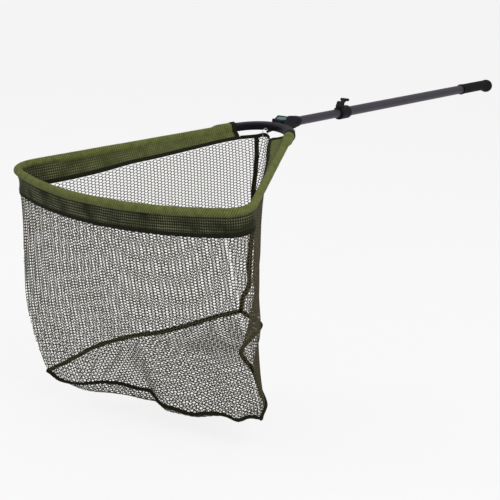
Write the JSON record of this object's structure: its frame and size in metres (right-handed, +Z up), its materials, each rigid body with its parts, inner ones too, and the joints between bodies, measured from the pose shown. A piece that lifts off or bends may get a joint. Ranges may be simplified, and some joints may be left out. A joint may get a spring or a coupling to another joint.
{
  "type": "landing net",
  "caption": "Triangular folding landing net on a telescopic handle, with a lever clamp, push-button fold joint and a deep mesh bag.",
  "frame": {"origin": "centre of the flat butt end of the grip, on the handle's axis", "axes": "+X along the handle towards the net, +Y left, +Z up"},
  "size_m": [1.5932, 0.6122, 0.5568],
  "materials": {
    "tube_anodised": "satin dark gunmetal anodised",
    "frame_tube": "satin dark anodised",
    "grip_rubber": "matt black, moulded",
    "clamp_plastic": "matt black",
    "yoke_plastic": "satin black",
    "button_plastic": "satin grey-green",
    "steel_pin": "satin",
    "bush_plastic": "matt black",
    "sleeve_fabric": "matt olive woven",
    "tape_fabric": "matt black webbing",
    "net_fabric": "dark olive coated mesh"
  },
  "bodies": {
    "handle_rear": {"rear_tube": "tube_anodised", "grip": "grip_rubber", "butt_plug": "bush_plastic", "clamp_body": "clamp_plastic", "mouth_ring": "bush_plastic", "brake_shoe": "bush_plastic", "lever_pin": "steel_pin"},
    "clamp_lever": {"clamp_lever": "clamp_plastic"},
    "front_section": {"front_tube": "tube_anodised", "guide_bush": "bush_plastic", "head_block": "yoke_plastic", "collar_band": "yoke_plastic", "button_spring": "steel_pin", "fold_pin": "steel_pin"},
    "fold_button": {"fold_button": "button_plastic"},
    "net_head": {"yoke": "yoke_plastic", "arm_rivet_left": "steel_pin", "arm_rivet_right": "steel_pin", "frame_tube_left": "frame_tube", "frame_tube_right": "frame_tube", "front_ferrule": "bush_plastic", "net_ring": "steel_pin", "sleeve_left": "sleeve_fabric", "sleeve_right": "sleeve_fabric", "sleeve_front": "sleeve_fabric", "hem_tape_left": "tape_fabric", "hem_tape_right": "tape_fabric", "band_tape_left": "tape_fabric", "band_tape_right": "tape_fabric", "band_tape_front": "tape_fabric", "back_tape": "tape_fabric", "back_seam": "tape_fabric", "net_wall_left": "net_fabric", "net_wall_right": "net_fabric", "net_wall_front": "net_fabric", "net_floor": "net_fabric", "floor_seam_left": "tape_fabric", "floor_seam_right": "tape_fabric", "floor_seam_front": "tape_fabric"}
  },
  "joints": [
    {"name": "clamp_lever_hinge", "type": "hinge", "parent": "handle_rear", "child": "clamp_lever", "pos_m": [0.7365, 0, 0.02], "axis": [0, -1, 0], "range_deg": [-50, 15]},
    {"name": "handle_extension", "type": "slide", "parent": "handle_rear", "child": "front_section", "axis": [1, 0, 0], "range_m": [-0.13, 0.44]},
    {"name": "button_push", "type": "slide", "parent": "front_section", "child": "fold_button", "axis": [-0.535, 0, -0.8449], "range_m": [0, 0.003], "stiffness_N_per_m": 600, "springref_m": -0.002, "deforming": ["button_spring"]},
    {"name": "net_fold", "type": "hinge", "parent": "front_section", "child": "net_head", "pos_m": [0.985, 0, 0.008], "axis": [0, -1, 0], "range_deg": [0, 156]}
  ]
}
